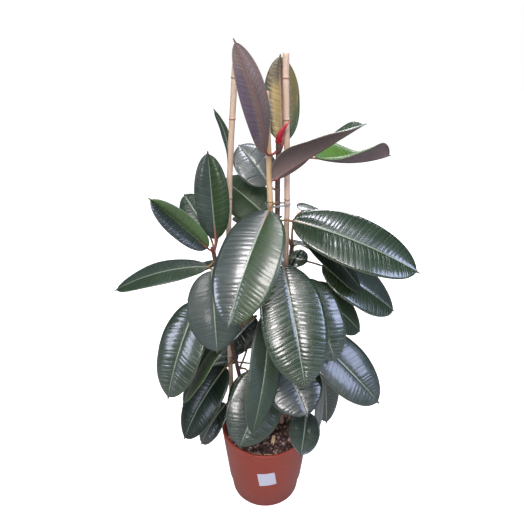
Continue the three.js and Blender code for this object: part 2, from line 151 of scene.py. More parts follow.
# name, height on the stem, blade's base, blade's tip, width, bow, way the upper face looks, then
# fold and twist. The stem is the name's first word.
LEAVES = [
    ("tall_leaf_01", 839, (-1, -36.5, 843), (-51, -90, 1025), 64, -22, (-6, 9, 3), 42, -45),
    ("tall_leaf_02", 831, (31, 17, 852), (25, 62, 999), 68, -8, (0, -10, 3), 18, 0),
    ("tall_leaf_03", 789, (15, -24, 791), (159, -90, 901), 114, 0, (-8, 9, 16), 46, 62),
    ("tall_leaf_04", 805, (94, 46, 815), (262, 124, 802), 148, -12, (-1, 1, 10), 50, -70),
    ("tall_leaf_05", 763, (6, 34, 766), (-54, 78, 834), 80, 6, (2, -10, 7)),
    ("left_leaf_01", 643, (-97, -28, 677), (-106, -12, 841), 72, 2, (1, -10, 2), 30, 0),
    ("left_leaf_02", 648, (-113, -44, 665), (-201, -96, 779), 74, -6, (5, -10, 0), 50, 0),
    ("left_leaf_03", 633, (-116, 10, 677), (-166, 60, 738), 60, 4, (0, -10, 5), 15, 0),
    ("tall_leaf_06", 697, (2, 30, 701), (-90, 92, 761), 92, 6, (3, -10, 5)),
    ("tall_leaf_07", 735, (4, -43, 738), (-68, -170, 564), 122, 14, (-3, -8, 8)),
    ("tall_leaf_08", 697, (52, -26, 712), (290, -70, 623), 118, 16, (-1, -6, 10)),
    ("back_leaf_01", 623, (52, 14, 697), (207, 20, 533), 100, 10, (3, -3, 10)),
    ("back_leaf_02", 593, (122, 56, 579), (294, 62, 459), 110, 12, (4, -6, 8)),
    ("back_leaf_03", 553, (90, 34, 538), (217, 44, 416), 90, 10, (3, -6, 8)),
    ("tall_leaf_09", 643, (32, -56, 632), (73, -170, 430), 124, 14, (1, -9, 5)),
    ("back_leaf_14", 583, (76, -22, 585), (140, -90, 431), 96, 12, (3, -10, 5)),
    ("back_leaf_15", 483, (90, -36, 467), (240, -90, 325), 110, 12, (2, -7, 8)),
    ("back_leaf_04", 403, (132, 62, 371), (150, 16, 168), 72, 8, (3, -10, 4)),
    ("tall_leaf_12", 433, (30, -50, 417), (84, -140, 335), 118, 8, (0, -6, 10)),
    ("back_leaf_16", 283, (90, -47, 265), (69, -175, 265), 68, 10, (2, -4, 10), 14, 0),
    ("back_leaf_05", 363, (126, 14, 337), (113, -54, 186), 76, 6, (10, -5, 0)),
    ("tall_leaf_14", 521, (4, -60, 538), (-29, -190, 332), 80, 14, (7, -10, 3), 24, 0),
    ("tall_leaf_15", 393, (8, -46, 388), (-56, -150, 261), 116, 12, (2, -8, 6)),
    ("left_leaf_04", 353, (-38, -24, 357), (-49, -106, 213), 84, 10, (0, -8, 6)),
    ("left_leaf_05", 553, (-134, -54, 551), (-196, -130, 371), 106, 12, (-5, -8, 6)),
    ("left_leaf_06", 589, (-104, -52, 619), (-93, -125, 479), 102, 10, (0, -9, 6)),
    ("left_leaf_07", 473, (-74, -26, 473), (-172, -110, 339), 90, 12, (-6, 0, 10)),
    ("left_leaf_08", 453, (-22, 34, 462), (-110, 38, 358), 76, 6, (-2, -10, 4)),
    ("left_leaf_09", 383, (-88, -22, 367), (-180, -90, 223), 96, 12, (-6, -6, 8)),
    ("left_leaf_10", 273, (-92, -12, 255), (-150, -45, 163), 62, 8, (-6, -6, 8)),
    ("left_leaf_11", 633, (-116, -30, 617), (-295, -60, 580), 84, 14, (0, -1, 10)),
    ("back_leaf_06", 629, (76, 84, 693), (170, 170, 633), 100, 10, (-1, -3, 10)),
    ("back_leaf_07", 593, (46, 40, 605), (88, 24, 605), 60, 3, (0, -3, 10)),
    ("tall_leaf_16", 683, (0, 60, 683), (-40, 200, 613), 108, 14, (0, 3, 10)),
    ("tall_leaf_17", 593, (0, 66, 593), (-66, 220, 503), 112, 14, (-2, 4, 10)),
    ("back_leaf_08", 613, (66, 92, 613), (160, 230, 513), 110, 14, (3, 4, 10)),
    ("left_leaf_12", 573, (-116, 34, 583), (-230, 150, 488), 112, 14, (-4, 3, 10)),
    ("back_leaf_09", 533, (34, 92, 543), (20, 260, 443), 114, 14, (0, 5, 10)),
    ("left_leaf_13", 493, (-118, 52, 493), (-150, 230, 393), 112, 14, (-2, 5, 10)),
    ("back_leaf_10", 453, (80, 88, 463), (180, 200, 363), 110, 14, (4, 4, 10)),
    ("left_leaf_14", 346, (-44, 62, 356), (-36, 212, 252), 106, 14, (-1, 5, 10)),
    ("back_leaf_11", 343, (50, 92, 353), (60, 230, 253), 106, 14, (1, 5, 10)),
    ("back_leaf_12", 433, (90, 50, 423), (210, 90, 323), 100, 12, (5, 1, 10)),
    ("back_leaf_13", 308, (-70, 70, 314), (-178, 124, 236), 100, 12, (-5, 3, 10)),
    ("left_leaf_15", 645, (-72, 40, 790), (-98, 50, 905), 24, -14, (-8, -8, 2), 10, 0),
]

# Leaves that aren't plain blackish green: fresh green, partly real and on some halves a painted lit side;
# waxy grey bloom, partly a painted sheen; how deeply the blade is quilted, how far the gloss is dulled to
# satin and how red the petiole is. Pairs go before and past the midrib.
# None, and what a row leaves out, is as on a plain leaf.
TRAITS = {
    "tall_leaf_01": (0.2, 0.2, 0.8, 0, 1),
    "tall_leaf_02": (None, None, None, 0, 1),
    "tall_leaf_03": (0.3, 0.5, 0.6, 0, 0.9),
    "tall_leaf_04": (0.9, 0, 0.45, 0.7, 0.6),
    "tall_leaf_05": (0.05, 0.55, 0.35, 0.3, 0.5),
    "tall_leaf_06": (0.16, 0, 0.3, 1),
    "tall_leaf_07": ((0.2, 0.04), (0, 0.4), 1, (0.5, 0), 0.35),
    "tall_leaf_08": ((0.1, 0.12), (0.12, 0.1), 1),
    "tall_leaf_09": ((0.12, 0.14), (0.14, 0.1), 1.1),
    "tall_leaf_12": (0.02, (0, 0.2), 1, 0.3),
    "tall_leaf_14": ((0.14, 0.1), (0.3, 0.35), 0.8, 0.5),
    "tall_leaf_15": ((0.1, 0.06), (0.1, 0.2), 0.6, 0.3),
    "left_leaf_01": ((0.06, 0.16), (0.3, 0), 0.45, 0.5, 0.9),
    "left_leaf_02": ((0.02, 0.6), (0.2, 0), 0.8, (0, 0.5), 1),
    "left_leaf_03": ((0.08, 0.06), 0.12, 0.6, 0.5),
    "left_leaf_04": (0.02, 0, 0.7, 0.6),
    "left_leaf_05": (0.1, 0.1, 0.9, (0.25, 0.2)),
    "left_leaf_06": ((0.08, 0.06), (0.4, 0.55), 0.3, (0.6, 0.5)),
    "left_leaf_07": ((0.3, 0.1), (0.2, 0.1), 0.6, 0.6),
    "left_leaf_08": (0.02, 0.1, 0.4),
    "left_leaf_09": (0, 0, 0.8, 0.5),
    "left_leaf_10": (0.02, 0, 0.7, 0.4),
    "left_leaf_11": ((0.12, 0.07), (0.18, 0.3), 0.8, 0.6),
    "left_leaf_15": (0.12, 0.3, 0.4, 0.8),
    "back_leaf_01": (0.02, 0, 0.7, 1),
    "back_leaf_02": ((0.1, 0.16), (0.3, 0.1), 0.7),
    "back_leaf_03": (None, None, None, 0.8),
    "back_leaf_04": (0.02, 0, 0.5),
    "back_leaf_05": (0.16, 0.45, 0.4, 0.4),
    "back_leaf_06": (0.2, 0.5, 0.4),
    "back_leaf_07": (0.2, 0.4, 0.5),
    "back_leaf_14": (0.12, 0.2, 1),
    "back_leaf_15": (0.06, (0.2, 0.25), 0.45, 0.3),
    "back_leaf_16": (0.06, 0.2, 0.4, 0.4),
}


# ---- shader maths

def tint(colour):
    """A screen colour of three parts, 0 to 255, as the shader's linear one; anything else as it is."""
    def linear(share):
        if share <= 0.04045:
            return share / 12.92
        return ((share + 0.055) / 1.055) ** 2.4
    if not isinstance(colour, tuple) or len(colour) != 3:
        return colour
    return tuple(linear(part / 255) for part in colour) + (1,)


class Value:
    """A node's output that takes part in arithmetic."""

    def __init__(self, finish, socket):
        self.finish = finish
        self.socket = socket

    def maths(self, operation, first, second=0):
        return self.finish.node("Math", {"operation": operation}, {0: first, 1: second})

    def __add__(self, other):
        return self.maths("ADD", self, other)

    def __sub__(self, other):
        return self.maths("SUBTRACT", self, other)

    def __rsub__(self, other):
        return self.maths("SUBTRACT", other, self)

    def __mul__(self, other):
        return self.maths("MULTIPLY", self, other)

    def __abs__(self):
        return self.maths("ABSOLUTE", self)

    def fraction(self):
        return self.maths("FRACT", self)

    def step(self, low, high):
        """0 at low, 1 at high, with a soft way between; low may be the larger."""
        settings = {"interpolation_type": "SMOOTHSTEP", "clamp": True}
        return self.finish.node("MapRange", settings, {"Value": self, 1: low, 2: high, 3: 0, 4: 1})

    def mix(self, first, second):
        """The first colour where this value is 0, the second where it is 1."""
        return self.finish.node("Mix", {"data_type": "RGBA"}, {0: self, 6: tint(first), 7: tint(second)}, 2)

    __radd__ = __add__
    __rmul__ = __mul__


class Finish:
    """A material whose look is built from nodes."""

    def __init__(self, name):
        self.material = bpy.data.materials.new(name)
        self.material.use_nodes = True
        self.tree = self.material.node_tree
        self.shader = self.tree.nodes["Principled BSDF"]
        self.place = self.node("TexCoord", {}, {}, "Object")

    def node(self, kind, settings, sockets, output=0):
        made = self.tree.nodes.new("ShaderNode" + kind)
        for setting, value in settings.items():
            if setting == "stops":
                self.set_stops(made.color_ramp, value)
            else:
                setattr(made, setting, value)
        for socket, value in sockets.items():
            self.feed(made.inputs[socket], value)
        return Value(self, made.outputs[output])

    def set_stops(self, ramp, stops):
        while len(ramp.elements) < len(stops):
            ramp.elements.new(0.5)
        for element, (position, colour) in zip(ramp.elements, stops):
            element.position = position
            element.color = tint(colour)

    def feed(self, socket, value):
        if isinstance(value, Value):
            self.tree.links.new(value.socket, socket)
        else:
            socket.default_value = value

    def set(self, **sockets):
        for name, value in sockets.items():
            self.feed(self.shader.inputs[name.replace("_", " ")], value)

    def surface(self, roughness, **sockets):
        """The painted colour and its roughness, with any other plain settings."""
        self.set(Base_Color=self.colour, Roughness=roughness, **sockets)

    def noise(self, scale, detail=4, roughness=0.55, stretch=None, turn=(0, 0, 0)):
        """A noise in the piece's own place; a stretch under 1 draws it out along that axis."""
        place = self.place
        if stretch:
            place = self.node("Mapping", {}, {"Vector": place, "Scale": stretch, "Rotation": turn})
        sockets = {"Vector": place, "Scale": scale, "Detail": detail, "Roughness": roughness}
        return self.node("TexNoise", {}, sockets)

    def paint(self, mask, colour):
        """Lays a colour over what is there, as far as the mask lets it through."""
        self.colour = mask.mix(self.colour, colour)

    def attribute(self, name):
        vector = self.node("Attribute", {"attribute_name": name}, {}, "Vector")
        return [self.node("SeparateXYZ", {}, {0: vector}, part) for part in range(3)]

    def bump(self, height, distance, strength):
        """Adds the relief, which ends the finish."""
        relief = self.node("Bump", {}, {"Height": height, "Distance": distance, "Strength": strength})
        self.set(Normal=relief)
        return self


# ---- finishes

def ribs_of(finish):
    """Side in mm from the midrib, rib phase, share along and mm to the nearest side rib."""
    side, phase, along = finish.attribute("ribs")
    return side, phase, along, abs((phase + 0.5).fraction() - 0.5) * RIB_PITCH


def leaf_upper(name, shine):
    """Blackish green under a hard gloss, greener on some halves as a painted lit side, dulled in places by
    a grey bloom that is partly a painted sheen, with a wide dull midrib.
    """
    finish = Finish(name)
    side, phase, along, nearest = ribs_of(finish)
    edge, green, red = finish.attribute("look")
    bloom_and_sheen, _, satin = finish.attribute("wax")
    cloud = finish.noise(20)
    fleck = finish.noise(560, 2)
    deep = cloud.mix((4, 14, 8), (12, 31, 20))
    # The fresh green is partly the leaf's own and partly painted light, on halves made lighter as if lit.
    fresh_and_lit_green = cloud.mix((54, 86, 32), (88, 124, 48))
    finish.colour = green.mix(deep, fresh_and_lit_green)
    # The grey bloom is partly real wax and partly a painted sheen on the halves that catch the light.
    patchy_bloom_and_sheen = bloom_and_sheen * (cloud * 0.7 + 0.3)
    finish.paint(patchy_bloom_and_sheen, (84, 92, 94))
    finish.paint(fleck.step(0.55, 0.72) * 0.16, (60, 80, 60))
    rib = nearest.step(0.8, 0.15) * abs(side).step(0.5, 2)
    small = abs((phase * 4 + cloud * 1.5).fraction() - 0.5).step(0.16, 0.02)
    finish.paint(rib * 0.18, (70, 90, 68))
    finish.paint(small * 0.06, (90, 108, 88))
    midrib = (abs(side) + along * 1.7).step(3.1, 2) * along.step(0.98, 0.86)
    blush = along.step(0.24, 0.02) * red
    pale = blush.mix((112, 126, 104), (164, 96, 86))
    finish.paint(midrib * 0.85, pale)
    finish.paint(edge.step(1, 0.2) * along.step(0.95, 0.85) * 0.5, (104, 118, 86))
    gloss = cloud * 0.12 + rib * 0.08 + midrib * 0.18 + fleck * 0.04 + bloom_and_sheen * 0.16
    finish.surface(gloss + satin * 0.25 + 0.16)
    finish.set(Specular_IOR_Level=shine, Coat_Weight=(1 - satin) * shine, Coat_Roughness=0.13)
    return finish.bump(rib * -0.6 + small * -0.25 + fleck * 0.12 + midrib * 0.4, 0.0005, 0.7)


def leaf_under():
    """Dull mauve-brown where the leaf is flushed with red, olive-brown elsewhere, with a painted shadow in
    dark purple over one half.
    """
    finish = Finish("leaf_underside_mauve_brown")
    side, _, along, nearest = ribs_of(finish)
    edge, _, red = finish.attribute("look")
    purple_shade = finish.attribute("wax")[1]
    cloud = finish.noise(22, 3)
    patch = finish.noise(9, 2)
    grain = finish.noise(420, 3)
    olive = cloud.mix((78, 76, 58), (98, 94, 72))
    mauve = cloud.mix((82, 68, 62), (104, 89, 82))
    mauve = (patch.step(0.5, 0.65) * 0.3).mix(mauve, (74, 54, 60))
    # A painted shadow: a dark purple patch over the middle of one half, strongest on the purple leaf.
    shaded = side.step(5, 13) * abs(along - 0.48).step(0.42, 0.22)
    mauve = (shaded * purple_shade).mix(mauve, (62, 50, 66))
    finish.colour = red.step(0.1, 0.6).mix(olive, mauve)
    finish.paint(grain * 0.16, (132, 116, 110))
    rib = nearest.step(1, 0.2) * abs(side).step(0.5, 2)
    finish.paint(rib * cloud * 0.12, (134, 112, 102))
    midrib = (abs(side) + along * 1.8).step(2.8, 1.7)
    bare = red.mix((120, 116, 84), (112, 72, 68))
    finish.paint(midrib * 0.6, bare)
    finish.paint(edge.step(1, 0.2) * 0.5, (156, 138, 122))
    finish.surface(0.44 + grain * 0.15 + rib * 0.05)
    finish.set(Specular_IOR_Level=0.5, Coat_Weight=0.05, Coat_Roughness=0.3)
    return finish.bump(rib * 0.25 + grain * 0.2 + cloud * 0.3, 0.0005, 0.6)


def leaf_margin():
    finish = Finish("leaf_margin_pale")
    along = finish.attribute("ribs")[2]
    red = finish.attribute("look")[2]
    cloud = finish.noise(60, 3)
    finish.colour = cloud.mix((92, 106, 76), (124, 134, 96))
    finish.paint(red * 0.6, (136, 118, 106))
    finish.paint(along.step(0.93, 0.98), (54, 56, 40))
    finish.surface(0.38 + cloud * 0.1)
    return finish.bump(cloud, 0.0002, 0.5)


def petiole_skin():
    finish = Finish("petiole_green_to_red")
    along = finish.attribute("ribs")[2]
    red = finish.attribute("look")[2]
    streak = finish.noise(90, 3)
    fleck = finish.noise(900, 2)
    plain = streak.mix((92, 92, 50), (124, 110, 62))
    flushed = streak.mix((124, 48, 52), (156, 78, 70))
    finish.colour = red.mix(plain, flushed)
    finish.paint(along.step(0.25, 0) * 0.8, (84, 58, 44))
    finish.paint(fleck.step(0.6, 0.7) * 0.4, (168, 132, 96))
    finish.surface(0.38 + streak * 0.15)
    return finish.bump(streak * 0.6 + fleck * 0.3, 0.0003, 0.5)


def young_upper():
    """The newest leaf: gold beside the midrib, olive brown above, a dark green strip and an olive half."""
    finish = Finish("young_leaf_gold_and_green")
    side, _, along, nearest = ribs_of(finish)
    edge = finish.attribute("look")[0]
    cloud = finish.noise(30, 3)
    blur = finish.noise(60, 3) * 5 - 2.5
    fleck = finish.noise(420, 2)
    gold = cloud.mix((104, 88, 40), (140, 120, 64))
    brown = cloud.mix((54, 50, 26), (74, 66, 36))
    strip = cloud.mix((22, 42, 32), (38, 60, 44))
    finish.colour = (side + blur).step(-15, -23).mix(gold, brown)
    finish.paint((along * 30 + blur * 0.6).step(18, 23), brown)
    finish.paint((side + blur * 0.5 + along * 12).step(-15, -20), strip)
    olive = (side + blur * 0.4).step(9, 17).mix((58, 52, 8), (78, 72, 22))
    olive = (along * 30 - side * 0.3).step(7, 0).mix(olive, (40, 54, 12))
    finish.paint(side.step(0.5, 4.5), olive)
    rib = nearest.step(1.5, 0.3) * side.step(-1.5, -5)
    finish.paint(rib * cloud.step(0.3, 0.6) * 0.6, (98, 78, 38))
    flush = abs(side + 1.6).step(3, 1.2)
    finish.paint(flush * along.step(0.9, 0.7) * 0.65, (128, 92, 66))
    midrib = abs(side).step(1.5, 0.8)
    finish.paint(midrib * along.step(0.97, 0.86) * 0.9, (84, 36, 28))
    finish.paint(edge.step(1.2, 0.3) * 0.5, (112, 100, 66))
    finish.surface(0.36 + cloud * 0.1 + fleck * 0.06)
    finish.set(Specular_IOR_Level=0.45, Coat_Weight=0.1, Coat_Roughness=0.2)
    return finish.bump(rib * -0.5 + fleck * 0.14 + midrib * 0.4, 0.0005, 0.6)


def young_under():
    finish = Finish("young_leaf_underside_olive")
    side, _, _, nearest = ribs_of(finish)
    cloud = finish.noise(24, 3)
    grain = finish.noise(380, 3)
    olive = cloud.mix((128, 112, 44), (156, 132, 62))
    rib = nearest.step(1.1, 0.2) * abs(side).step(0.8, 2.4)
    finish.colour = (rib * 0.4).mix(olive, (174, 138, 84))
    finish.paint(abs(side).step(3.2, 2) * 0.9, (170, 66, 68))
    finish.surface(0.42 + grain * 0.12)
    return finish.bump(rib * 0.5 + grain * 0.2, 0.0005, 0.6)


def terracotta_plastic():
    finish = Finish("terracotta_coloured_plastic")
    cloud = finish.noise(9)
    pore = finish.noise(700, 3)
    lap = finish.noise(30, 3, stretch=(1, 1, 14))
    height = finish.node("SeparateXYZ", {}, {0: finish.place}, 2)
    finish.colour = cloud.mix((122, 47, 33), (138, 60, 44))
    finish.paint(lap.step(0.5, 0.75) * 0.25, (154, 82, 66))
    finish.paint(height.step(0.05, 0) * 0.35, (108, 40, 34))
    scuff = finish.noise(48, 6, 0.7, (1, 1, 3)).step(0.62, 0.72)
    finish.paint(scuff * 0.2, (166, 106, 88))
    roughness = 0.3 + cloud * 0.12 + scuff * 0.12 + pore * 0.06
    finish.surface(roughness, Specular_IOR_Level=0.4)
    return finish.bump(pore * 0.6 + lap * 0.25, 0.0003, 0.5)


def label_paper():
    finish = Finish("bare_label_paper")
    fibre = finish.noise(520, 5, 0.7, (1, 1, 0.35), (0, 0.14, 0))
    cloud = finish.noise(40, 3)
    finish.colour = fibre.mix((168, 170, 184), (188, 190, 202))
    finish.paint(cloud.step(0.55, 0.8) * 0.3, (178, 172, 172))
    finish.surface(0.55 + fibre * 0.2)
    return finish.bump(fibre, 0.0002, 0.5)


def compost():
    finish = Finish("dark_peaty_compost")
    clod = finish.noise(120, 6, 0.7)
    speck = finish.noise(650)
    finish.colour = clod.mix((30, 20, 18), (84, 62, 54))
    finish.paint(speck.step(0.56, 0.68) * 0.7, (138, 112, 100))
    finish.paint(finish.noise(210, 3).step(0.64, 0.7) * 0.8, (164, 140, 126))
    finish.surface(0.86 + speck * 0.12)
    return finish.bump(clod + speck * 0.6, 0.002, 1)


def compost_crumb():
    finish = Finish("compost_crumbs_and_bark")
    lump = finish.noise(75, 3)
    speck = finish.noise(800)
    stops = [(0.34, (24, 14, 12)), (0.45, (84, 60, 52)), (0.54, (140, 110, 98)), (0.66, (190, 160, 146))]
    finish.colour = finish.node("ValToRGB", {"stops": stops}, {"Fac": lump})
    finish.paint(speck * 0.35, (60, 42, 37))
    finish.surface(0.8 + speck * 0.15)
    return finish.bump(speck, 0.001, 0.9)


def stem_bark():
    finish = Finish("stem_bark_purple_brown")
    ring = finish.noise(60, 4, 0.6, (0.4, 0.4, 5))
    cork = finish.noise(260, 5, 0.7, (1, 1, 0.4))
    spot = finish.node("TexVoronoi", {}, {"Vector": finish.place, "Scale": 240})
    finish.colour = ring.mix((48, 32, 32), (96, 72, 62))
    finish.paint(cork.step(0.5, 0.75) * 0.5, (126, 104, 90))
    finish.paint(spot.step(0.2, 0.1) * 0.7, (164, 140, 118))
    finish.surface(0.6 + cork * 0.2)
    return finish.bump(ring * 0.5 + cork + spot.step(0.25, 0.1) * 0.5, 0.0006, 0.8)


def bamboo(name, pale, deep):
    """Bamboo culm: fine fibres along it, brown rings at its nodes and speckles."""
    finish = Finish(name)
    fibre = finish.noise(900, 4, 0.6, (1, 1, 0.02))
    stain = finish.noise(30, 5, 0.65, (1, 1, 0.35))
    speck = finish.noise(1100, 2)
    ring = finish.attribute("ribs")[1]
    finish.colour = stain.mix(pale, deep)
    finish.paint(fibre * 0.3, (214, 196, 172))
    finish.paint(stain.step(0.58, 0.72) * 0.4, (150, 104, 72))
    finish.paint(speck.step(0.68, 0.76) * 0.6, (112, 74, 52))
    finish.paint(ring.step(0.25, 0.95) * 0.85, (112, 74, 50))
    finish.surface(0.42 + fibre * 0.16, Specular_IOR_Level=0.4)
    return finish.bump(fibre * 0.6 + stain * 0.2, 0.0003, 0.6)


def wire_sheath():
    finish = Finish("grey_tie_wire")
    wear = finish.noise(300)
    finish.colour = wear.mix((104, 106, 104), (150, 150, 146))
    finish.surface(0.42 + wear * 0.2, Metallic=0.15)
    return finish.bump(wear, 0.0002, 0.5)


def red_sheath():
    finish = Finish("crimson_leaf_sheath")
    along = finish.attribute("ribs")[2]
    streak = finish.noise(160, 4, 0.6, (3, 3, 0.6))
    finish.colour = streak.mix((150, 20, 38), (188, 42, 60))
    finish.paint(along.step(0.7, 1) * 0.7, (206, 116, 92))
    finish.paint(along.step(0.15, 0) * 0.6, (110, 60, 44))
    finish.surface(0.34 + streak * 0.14, Specular_IOR_Level=0.5)
    return finish.bump(streak, 0.0004, 0.6)


def bark_chip():
    finish = Finish("tan_bark_flake")
    grain = finish.noise(200, 5, 0.6, (1, 6, 6))
    finish.colour = grain.mix((168, 132, 96), (206, 178, 142))
    finish.surface(0.7 + grain * 0.15)
    return finish.bump(grain, 0.0005, 0.8)


def studio_floor():
    """Pale where the camera sees it, dark to all other light, so that it doesn't wash out the gloss."""
    finish = Finish("plain_pale_floor")
    cloud = finish.noise(2, 2)
    seen = finish.node("LightPath", {}, {})
    pale = cloud.mix((0.86, 0.86, 0.86, 1), (0.9, 0.9, 0.9, 1))
    finish.colour = seen.mix((0.3, 0.3, 0.3, 1), pale)
    finish.surface(0.8, Specular_IOR_Level=0.1)
    finish.set(Emission_Color=seen.mix((0.06, 0.06, 0.06, 1), pale), Emission_Strength=0.75)
    return finish


# ---- making pieces

def new_mesh():
    bm = bmesh.new()
    for name in LAYERS:
        bm.verts.layers.float_vector.new(name)
    return bm


def layers_of(bm):
    return [bm.verts.layers.float_vector[name] for name in LAYERS]


def mesh_of(name, bm, finishes):
    """A mesh in metres from a bmesh in millimetres."""
    bmesh.ops.scale(bm, vec=(MM, MM, MM), verts=bm.verts)
    mesh = bpy.data.meshes.new(name)
    bm.to_mesh(mesh)
    bm.free()
    for finish in finishes:
        mesh.materials.append(finish.material)
    return mesh


def placed(name, data):
    """An object for a mesh, lamp or camera, in the scene."""
    made = bpy.data.objects.new(name, data)
    bpy.context.scene.collection.objects.link(made)
    return made


def finish_piece(name, bm, finishes, nodes=()):
    """Turns a bmesh in millimetres into a piece that rides on the plant."""
    mesh = mesh_of(name, bm, finishes)
    mesh.shade_smooth()
    piece = placed(name, mesh)
    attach(piece, "root")
    if nodes:
        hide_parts(*nodes)
    return piece


def turned(bm, profile, steps):
    """A profile of (radius, height) turned round +Z, with its poles closed."""
    before = set(bm.verts)
    ring = [bm.verts.new((radius, 0, height)) for radius, height in profile]
    edges = [bm.edges.new(pair) for pair in zip(ring, ring[1:])]
    axis = {"cent": (0, 0, 0), "axis": (0, 0, 1)}
    bmesh.ops.spin(bm, geom=ring + edges, angle=tau, steps=steps, use_merge=True, **axis)
    made = [vert for vert in bm.verts if vert not in before]
    bmesh.ops.remove_doubles(bm, verts=made, dist=1e-5)
    made = [vert for vert in bm.verts if vert not in before]
    faces = {face for vert in made for face in vert.link_faces}
    bmesh.ops.recalc_face_normals(bm, faces=list(faces))
    return made


def closed(rings):
    """A profile of unit height, from its rings, with a pole at both ends."""
    return [(0, 0), *rings, (0, 1)]


def quadratic(first, bend, last, share):
    """A point on a quadratic curve, and the way it runs there."""
    rest = 1 - share
    point = first * rest * rest + bend * 2 * rest * share + last * share * share
    way = (bend - first) * 2 * rest + (last - bend) * 2 * share
    return point, way.normalized()


def bend_along(verts, curve, reference):
    """Lays a piece turned round +Z along a curve; its height runs from 0 to 1."""
    for vert in verts:
        point, way = curve(vert.co.z)
        side = way.cross(reference).normalized()
        vert.co = point + side * vert.co.x + side.cross(way) * vert.co.y


def run_at(earlier, here, later, before, after):
    """How a centre line runs at a point, from its neighbours and the gaps to them."""
    return (here - earlier) / before - (later - earlier) / (before + after) + (later - here) / after


def centre_at(path, height):
    """The centre line of a stem or cane at a height."""
    points = [Vector(point) for point in path]
    last = len(points) - 1

    def along(share):
        place = share * last
        index = min(int(place), last - 1)
        weight = place - index
        here, following = points[index], points[index + 1]
        earlier = points[index - 1] if index > 0 else here * 2 - following
        later = points[index + 2] if index + 2 <= last else following * 2 - here
        before = (here - earlier).length ** 0.5
        between = (following - here).length ** 0.5
        after = (later - following).length ** 0.5
        leave = run_at(earlier, here, following, before, between) * between
        arrive = run_at(here, following, later, between, after) * between
        square = following * 3 - here * 3 - leave * 2 - arrive
        cube = here * 2 - following * 2 + leave + arrive
        return here + leave * weight + square * weight ** 2 + cube * weight ** 3

    low, high = 0, 1
    for _ in range(22):
        middle = (low + high) / 2
        if along(middle).z < height:
            low = middle
        else:
            high = middle
    return along(low)


# ---- leaves

class Leaf:
    """One row of the table, with its blade's surface."""

    def __init__(self, row):
        self.name, self.height, base, tip, self.width, self.bow, face, *turns = row
        fold, twist = turns or USUAL_TURNS
        self.base = Vector(base)
        self.tip = Vector(tip)
        self.way = (self.tip - self.base).normalized()
        face = Vector(face)
        self.up = (face - self.way * face.dot(self.way)).normalized()
        self.crown = (self.base + self.tip) / 2 + self.up * 2 * self.bow
        self.fold = radians(fold)
        self.twist = radians(twist)
        self.length = (self.tip - self.base).length
        self.veins = round(self.length / RIB_PITCH)
        chance = random.Random(self.name)
        self.swells = [[chance.uniform(0.55, 1.35) for _ in range(PANELS)] for _ in range(2)]
        self.drift = chance.uniform(0, tau)
        self.wave = chance.uniform(0, tau)
        self.waves = chance.uniform(1.6, 2.6)
        usual = (chance.uniform(0.08, 0.24), 0.08, 0.8, 0, chance.uniform(0.05, 0.3))
        given = TRAITS.get(self.name, ()) + (None,) * len(usual)
        traits = [plain if own is None else own for own, plain in zip(given, usual)]
        green, bloom_and_sheen, self.quilt, satin, self.red = traits
        self.halves = [part if isinstance(part, tuple) else (part, part) for part in (green, bloom_and_sheen, satin)]
        self.slender = 1 if self.name == SLENDER_LEAF else 0

    def half_width(self, u):
        across = 2 * min(u, BODY_END) / BODY_END - 1
        power, root = (2.5, 0.56) if across < 0 else (2.15, 0.62)
        body = max(0, 1 - abs(across) ** power) ** root
        tip = TIP_SHARE * min(1, (1 - u) / 0.09)
        slender = 1 - 0.6 * self.slender * max(0, 1 - u / 0.75)
        return self.width / 2 * hypot(body, tip) * slender + NARROWEST

    def point(self, u, v):
        midrib, _ = quadratic(self.base, self.crown, self.tip, u)
        up = Quaternion(self.way, self.twist * (u - 0.5)) @ self.up
        side = self.way.cross(up)
        half = self.half_width(u)
        out = v * half * cos(self.fold)
        droop = CURL * cos(self.fold) ** 2 * abs(v)
        rise = abs(v) * half * sin(self.fold) * (1 - droop)
        rise += RIPPLE * abs(v) ** 3 * sin(self.waves * tau * u + self.wave + v)
        return midrib + side * out + up * rise


def lay_grid(bm, leaf):
    """The blade's grid on the leaf's surface, with what its finishes need kept at every vertex."""
    ribs, look, wax = layers_of(bm)
    # How strongly the underside shows its painted shadow
    purple_shade = 0.85 if leaf.name == SHADED_PURPLE_LEAF else 0.15
    grid = {"x_segments": 2 * HALF_COLUMNS, "y_segments": ROWS_PER_RIB * leaf.veins, "size": 1}
    made = bmesh.ops.create_grid(bm, **grid)["verts"]
    for vert in made:
        row = (vert.co.y + 1) / 2
        phase = row * leaf.veins
        row -= 0.05 * sin(tau * row)
        lag = 0.9 * copysign(1, vert.co.x)
        sway = sin(row * 31 + leaf.drift) + sin(row * 53 + leaf.drift * 2 + lag)
        row += 0.2 * sway / leaf.veins * min(1, 8 * row * (1 - row))
        v = copysign(0.88 * abs(vert.co.x) ** 1.5 + 0.12 * abs(vert.co.x), vert.co.x)
        u = row + RIB_LIFT * abs(v) * 4 * row * (1 - row)
        half = leaf.half_width(u)
        # Each half may differ in green and bloom, which is partly painted light on one side of the leaf.
        past = min(1, max(0, 0.5 + v * half / 3))
        green, bloom_and_sheen, satin = (before + (after - before) * past for before, after in leaf.halves)
        vert.co = leaf.point(u, v)
        vert[ribs] = (v * half, phase, u)
        vert[look] = ((1 - abs(v)) * half, green, leaf.red)
        vert[wax] = (bloom_and_sheen, purple_shade, satin)
    return made


def quilt(bm, leaf, made):
    """Raises the panels between the side ribs and sinks a groove along the midrib."""
    ribs, look, _ = layers_of(bm)
    bm.normal_update()
    for vert in made:
        side, phase, u = vert[ribs]
        edge = vert[look][0]
        fade = min(1, abs(side) / 5) * min(1, max(0, edge - 2) / 9)
        panel = sin(pi * (phase % 1)) ** 0.8 * leaf.swells[side > 0][int(phase) % PANELS]
        groove = GROOVE * exp(-(side / GROOVE_WIDTH) ** 2) * (1 - 0.6 * u)
        vert.co += vert.normal * (QUILT * leaf.quilt * panel * fade - groove)
    bm.normal_update()


